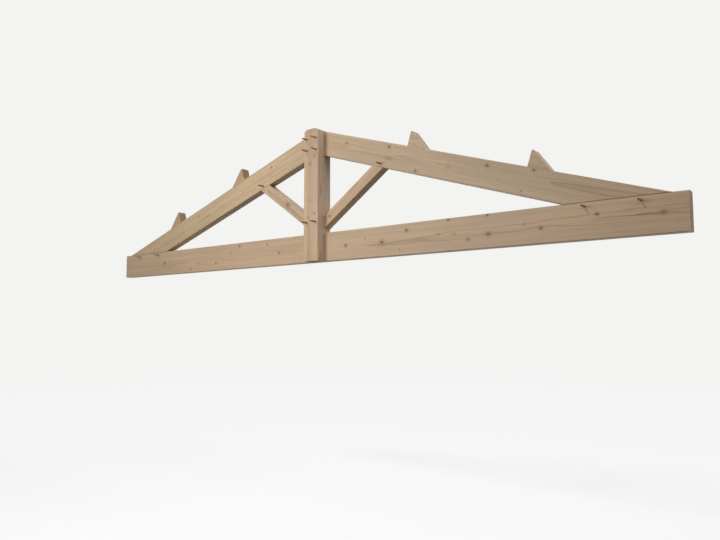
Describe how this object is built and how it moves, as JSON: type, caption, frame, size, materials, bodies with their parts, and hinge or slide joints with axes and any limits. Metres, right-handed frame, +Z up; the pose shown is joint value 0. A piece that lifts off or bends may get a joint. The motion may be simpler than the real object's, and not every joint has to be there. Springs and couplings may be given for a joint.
{
  "type": "wooden roof truss",
  "caption": "King-post roof truss of sawn softwood, with pegged mortise and tenon joints and purlin cleats on its rafters.",
  "frame": {"origin": "middle of the tie beam's underside, half way through its thickness", "axes": "+X along the tie beam to the right as seen from the front, +Z up; the king post stands proud towards -Y, which is the front"},
  "size_m": [5.8, 0.22, 1.1319],
  "materials": {
    "sawn_softwood": "sawn, unfinished",
    "peg_hardwood": "cleft and rounded, unfinished"
  },
  "bodies": {
    "root": {"tie_beam": "sawn_softwood", "king_post": "sawn_softwood", "rafter_left": "sawn_softwood", "rafter_right": "sawn_softwood", "strut_left": "sawn_softwood", "strut_right": "sawn_softwood", "cleat_left_upper": "sawn_softwood", "cleat_left_lower": "sawn_softwood", "cleat_right_upper": "sawn_softwood", "cleat_right_lower": "sawn_softwood", "peg_king_left_upper": "peg_hardwood", "peg_king_left_lower": "peg_hardwood", "peg_king_right_upper": "peg_hardwood", "peg_king_right_lower": "peg_hardwood", "peg_strut_foot_left": "peg_hardwood", "peg_strut_foot_right": "peg_hardwood", "peg_strut_head_left": "peg_hardwood", "peg_strut_head_right": "peg_hardwood", "peg_heel_left_inner": "peg_hardwood", "peg_heel_left_outer": "peg_hardwood", "peg_heel_right_inner": "peg_hardwood", "peg_heel_right_outer": "peg_hardwood"}
  },
  "joints": []
}
